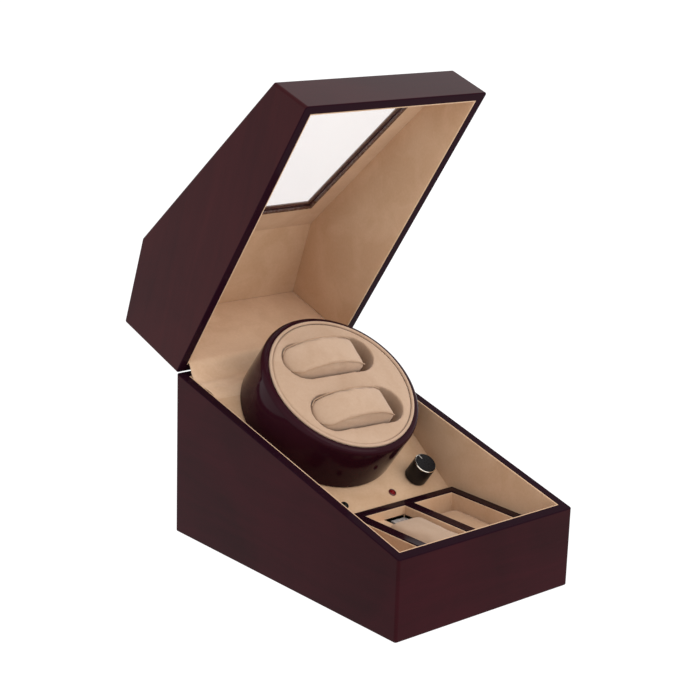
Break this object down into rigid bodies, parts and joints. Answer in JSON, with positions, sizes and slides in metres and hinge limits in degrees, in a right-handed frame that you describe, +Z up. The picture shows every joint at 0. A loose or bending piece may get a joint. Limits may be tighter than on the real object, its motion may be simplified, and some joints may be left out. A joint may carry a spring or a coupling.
{
  "type": "watch winder box",
  "caption": "Lacquered wooden watch winder box with a glazed hinged lid, a motor-driven turntable for watches on a sloping deck, selector knobs, lamps and a divided tray.",
  "frame": {"origin": "middle of the footprint with the lid open, on the floor under the feet", "axes": "+X to the right seen from the front, +Y to the back where the hinges are, +Z up"},
  "size_m": [0.2, 0.3852, 0.4279],
  "materials": {
    "lacquered_wood": "high gloss burgundy lacquer",
    "bottom_board": "matt painted board",
    "steel": "zinc plated",
    "rubber_feet": "matt",
    "suede": "short-nap suede cloth on board",
    "suede_padding": "padded short-nap suede cloth",
    "gloss_drum": "high gloss burgundy lacquer",
    "black_plastic": "satin black",
    "motor_case": "satin",
    "brass": "polished",
    "pin_steel": "ground",
    "bright_ring": "polished",
    "bearing_steel": "pressed sheet",
    "contact_metal": "satin",
    "circuit_board": "solder mask",
    "lamp_red": "clear tinted",
    "lamp_green": "clear tinted",
    "window": "clear float glass",
    "window_trim": "satin dark brown"
  },
  "bodies": {
    "root": {"base_carcass": "lacquered_wood", "bottom_panel": "bottom_board", "corner_blocks": "bottom_board", "bottom_screws": "steel", "feet": "rubber_feet", "lining_left": "suede", "lining_right": "suede", "lining_front": "suede", "lining_rear": "suede", "deck_panel": "suede", "bearing_plate": "bearing_steel", "plate_screws": "steel", "spindle_bush": "brass", "gear_motor": "motor_case", "motor_screws": "steel", "control_board": "circuit_board", "selector_left": "black_plastic", "selector_right": "black_plastic", "lamp_left": "lamp_green", "lamp_right": "lamp_red", "power_socket": "black_plastic", "tray_frame": "lacquered_wood", "compartment_left": "suede", "compartment_middle": "suede", "compartment_right": "suede", "tray_pad_middle": "suede_padding", "tray_pad_right": "suede_padding", "bay_block": "suede", "bay_plate": "contact_metal", "hinge_case_leaves": "brass", "hinge_pins": "pin_steel", "hinge_case_screws": "brass", "hinge_apron": "suede"},
    "lid": {"lid_shell": "lacquered_wood", "window_glass": "window", "window_trim": "window_trim", "lid_lining_left": "suede", "lid_lining_right": "suede", "lid_lining_back": "suede", "lid_lining_top": "suede", "lid_lining_slope": "suede", "lid_lining_front": "suede", "hinge_lid_leaves": "brass", "hinge_lid_screws": "brass"},
    "turntable": {"spindle": "steel", "retaining_ring": "steel", "drum_hub": "black_plastic", "hub_screws": "steel", "drum_gear": "black_plastic", "drum_cup": "gloss_drum", "drum_insert": "suede_padding"},
    "cushion_upper": {"cushion_upper": "suede_padding"},
    "cushion_lower": {"cushion_lower": "suede_padding"},
    "motor_pinion": {"motor_pinion": "black_plastic"},
    "knob_left": {"selector_shaft_left": "pin_steel", "knob_left": "black_plastic", "knob_ring_left": "bright_ring"},
    "knob_right": {"selector_shaft_right": "pin_steel", "knob_right": "black_plastic", "knob_ring_right": "bright_ring"}
  },
  "joints": [
    {"name": "lid_hinge", "type": "hinge", "parent": "root", "child": "lid", "pos_m": [0, 0.10938, 0.1542], "axis": [-1, 0, 0], "range_deg": [-70.9, 0], "deforming": ["hinge_apron"]},
    {"name": "turntable_spin", "type": "hinge", "parent": "root", "child": "turntable", "pos_m": [0, 0.02879, 0.114], "axis": [0, -0.6088, 0.7934], "continuous": true},
    {"name": "cushion_upper_lift", "type": "slide", "parent": "turntable", "child": "cushion_upper", "axis": [0, -0.6088, 0.7934], "range_m": [0, 0.06]},
    {"name": "cushion_lower_lift", "type": "slide", "parent": "turntable", "child": "cushion_lower", "axis": [0, -0.6088, 0.7934], "range_m": [0, 0.06]},
    {"name": "motor_pinion_spin", "type": "hinge", "parent": "root", "child": "motor_pinion", "pos_m": [0.03, 0.02879, 0.114], "axis": [0, -0.6088, 0.7934], "continuous": true},
    {"name": "knob_left_turn", "type": "hinge", "parent": "root", "child": "knob_left", "pos_m": [-0.067, -0.03611, 0.0642], "axis": [0, -0.6088, 0.7934], "range_deg": [-162, 138]},
    {"name": "knob_right_turn", "type": "hinge", "parent": "root", "child": "knob_right", "pos_m": [0.062, -0.03611, 0.0642], "axis": [0, -0.6088, 0.7934], "range_deg": [-162, 138]}
  ],
  "couplings": [
    {"joint": "motor_pinion_spin", "follows": "turntable_spin", "ratio": -3}
  ]
}
